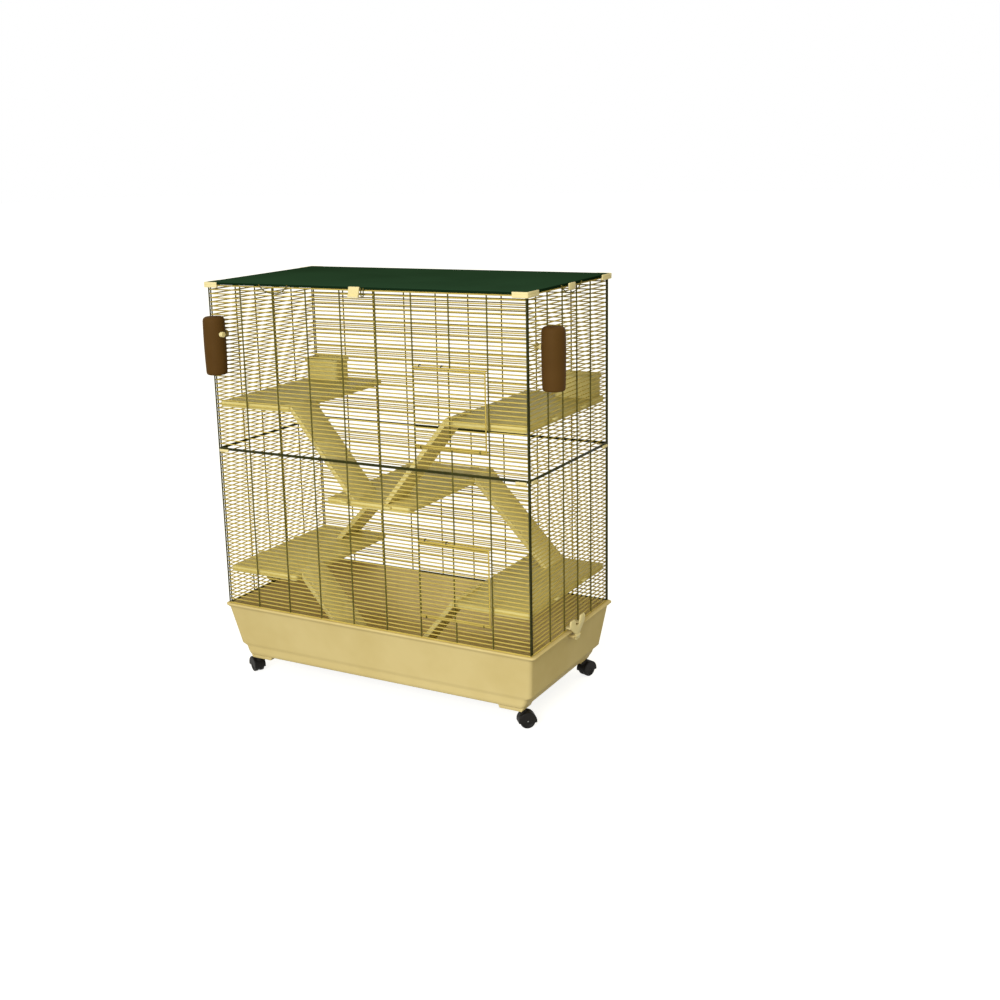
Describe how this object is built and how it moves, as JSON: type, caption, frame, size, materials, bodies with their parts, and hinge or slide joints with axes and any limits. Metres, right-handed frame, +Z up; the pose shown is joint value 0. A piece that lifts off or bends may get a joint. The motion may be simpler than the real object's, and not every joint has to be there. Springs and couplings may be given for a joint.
{
  "type": "chinchilla cage",
  "caption": "Tall wire cage for small pets: stacked wire storeys on a deep tray with casters, shelves and ramps inside, drop-down doors and a hinged solid roof.",
  "frame": {"origin": "on the floor under the middle of the whole object's box, the canisters counted", "axes": "+X towards the cage's right end as seen from its doors, +Y from the door side to the back, +Z up"},
  "size_m": [0.8768, 0.4676, 0.944],
  "materials": {
    "tray_plastic": "tan moulded polypropylene",
    "caster_plastic": "black moulded nylon",
    "bare_steel": "plain steel pin",
    "coated_wire": "olive coated steel wire",
    "roof_sheet": "dark green coated steel sheet",
    "brown_plastic": "brown moulded polypropylene",
    "shelf_plastic": "cream moulded polypropylene",
    "clip_plastic": "pale cream moulded polypropylene"
  },
  "bodies": {
    "cage": {"base_tray": "tray_plastic", "canister_hangers": "clip_plastic", "canister_knobs": "clip_plastic", "canister_left": "brown_plastic", "canister_right": "brown_plastic", "caster_stems": "bare_steel", "door_hinge_loops": "coated_wire", "feed_box_left": "shelf_plastic", "feed_box_right": "shelf_plastic", "lower_back_panel": "coated_wire", "lower_front_panel": "coated_wire", "lower_left_panel": "coated_wire", "lower_left_ramp": "shelf_plastic", "lower_left_shelf": "shelf_plastic", "lower_right_panel": "coated_wire", "lower_right_ramp": "shelf_plastic", "lower_right_shelf": "shelf_plastic", "mid_corner_clips": "clip_plastic", "middle_left_ramp": "shelf_plastic", "middle_right_ramp": "shelf_plastic", "middle_shelf": "shelf_plastic", "roof_corner_caps": "clip_plastic", "tray_clip_pins": "bare_steel", "upper_back_panel": "coated_wire", "upper_front_panel": "coated_wire", "upper_left_panel": "coated_wire", "upper_left_ramp": "shelf_plastic", "upper_left_shelf": "shelf_plastic", "upper_right_panel": "coated_wire", "upper_right_ramp": "shelf_plastic", "upper_right_shelf": "shelf_plastic"},
    "roof": {"roof_panel": "roof_sheet", "roof_hinge_clips": "clip_plastic", "roof_front_clip": "clip_plastic", "roof_side_clips": "clip_plastic", "roof_wire_bails": "coated_wire"},
    "lower_door": {"lower_door": "coated_wire", "lower_door_hooks": "coated_wire"},
    "upper_door": {"upper_door": "coated_wire", "upper_door_hooks": "coated_wire"},
    "tray_clip_left": {"tray_clip_left": "clip_plastic"},
    "tray_clip_right": {"tray_clip_right": "clip_plastic"},
    "caster_front_left": {"caster_hood_front_left": "caster_plastic", "caster_axle_front_left": "bare_steel"},
    "inner_wheel_front_left": {"caster_inner_wheel_front_left": "caster_plastic"},
    "outer_wheel_front_left": {"caster_outer_wheel_front_left": "caster_plastic"},
    "caster_front_right": {"caster_hood_front_right": "caster_plastic", "caster_axle_front_right": "bare_steel"},
    "inner_wheel_front_right": {"caster_inner_wheel_front_right": "caster_plastic"},
    "outer_wheel_front_right": {"caster_outer_wheel_front_right": "caster_plastic"},
    "caster_back_left": {"caster_hood_back_left": "caster_plastic", "caster_axle_back_left": "bare_steel"},
    "inner_wheel_back_left": {"caster_inner_wheel_back_left": "caster_plastic"},
    "outer_wheel_back_left": {"caster_outer_wheel_back_left": "caster_plastic"},
    "caster_back_right": {"caster_hood_back_right": "caster_plastic", "caster_axle_back_right": "bare_steel"},
    "inner_wheel_back_right": {"caster_inner_wheel_back_right": "caster_plastic"},
    "outer_wheel_back_right": {"caster_outer_wheel_back_right": "caster_plastic"}
  },
  "joints": [
    {"name": "roof_hinge", "type": "hinge", "parent": "cage", "child": "roof", "pos_m": [-0.0202, 0.2248, 0.936], "axis": [-1, 0, 0], "range_deg": [0, 100]},
    {"name": "lower_door_hinge", "type": "hinge", "parent": "cage", "child": "lower_door", "pos_m": [0.20202, -0.1805, 0.23508], "axis": [1, 0, 0], "range_deg": [0, 150]},
    {"name": "upper_door_hinge", "type": "hinge", "parent": "cage", "child": "upper_door", "pos_m": [0.20202, -0.1805, 0.61274], "axis": [1, 0, 0], "range_deg": [0, 150]},
    {"name": "tray_clip_left_hinge", "type": "hinge", "parent": "cage", "child": "tray_clip_left", "pos_m": [-0.4352, 0.0248, 0.166], "axis": [0, -1, 0], "range_deg": [0, 60]},
    {"name": "tray_clip_right_hinge", "type": "hinge", "parent": "cage", "child": "tray_clip_right", "pos_m": [0.3948, 0.0248, 0.166], "axis": [0, 1, 0], "range_deg": [0, 60]},
    {"name": "swivel_front_left", "type": "hinge", "parent": "cage", "child": "caster_front_left", "pos_m": [-0.3782, -0.1352, 0.041], "axis": [0, 0, 1], "continuous": true},
    {"name": "inner_wheel_spin_front_left", "type": "hinge", "parent": "caster_front_left", "child": "inner_wheel_front_left", "pos_m": [-0.386, -0.1307, 0.017], "axis": [-0.5, -0.866, 0], "continuous": true},
    {"name": "outer_wheel_spin_front_left", "type": "hinge", "parent": "caster_front_left", "child": "outer_wheel_front_left", "pos_m": [-0.386, -0.1307, 0.017], "axis": [-0.5, -0.866, 0], "continuous": true},
    {"name": "swivel_front_right", "type": "hinge", "parent": "cage", "child": "caster_front_right", "pos_m": [0.3378, -0.1352, 0.041], "axis": [0, 0, 1], "continuous": true},
    {"name": "inner_wheel_spin_front_right", "type": "hinge", "parent": "caster_front_right", "child": "inner_wheel_front_right", "pos_m": [0.34469, -0.12941, 0.017], "axis": [-0.6428, 0.766, 0], "continuous": true},
    {"name": "outer_wheel_spin_front_right", "type": "hinge", "parent": "caster_front_right", "child": "outer_wheel_front_right", "pos_m": [0.34469, -0.12941, 0.017], "axis": [-0.6428, 0.766, 0], "continuous": true},
    {"name": "swivel_back_left", "type": "hinge", "parent": "cage", "child": "caster_back_left", "pos_m": [-0.3782, 0.1848, 0.041], "axis": [0, 0, 1], "continuous": true},
    {"name": "inner_wheel_spin_back_left", "type": "hinge", "parent": "caster_back_left", "child": "inner_wheel_back_left", "pos_m": [-0.3827, 0.1926, 0.017], "axis": [-0.866, -0.5, 0], "continuous": true},
    {"name": "outer_wheel_spin_back_left", "type": "hinge", "parent": "caster_back_left", "child": "outer_wheel_back_left", "pos_m": [-0.3827, 0.1926, 0.017], "axis": [-0.866, -0.5, 0], "continuous": true},
    {"name": "swivel_back_right", "type": "hinge", "parent": "cage", "child": "caster_back_right", "pos_m": [0.3378, 0.1848, 0.041], "axis": [0, 0, 1], "continuous": true},
    {"name": "inner_wheel_spin_back_right", "type": "hinge", "parent": "caster_back_right", "child": "inner_wheel_back_right", "pos_m": [0.34087, 0.19326, 0.017], "axis": [-0.9397, 0.342, 0], "continuous": true},
    {"name": "outer_wheel_spin_back_right", "type": "hinge", "parent": "caster_back_right", "child": "outer_wheel_back_right", "pos_m": [0.34087, 0.19326, 0.017], "axis": [-0.9397, 0.342, 0], "continuous": true}
  ]
}
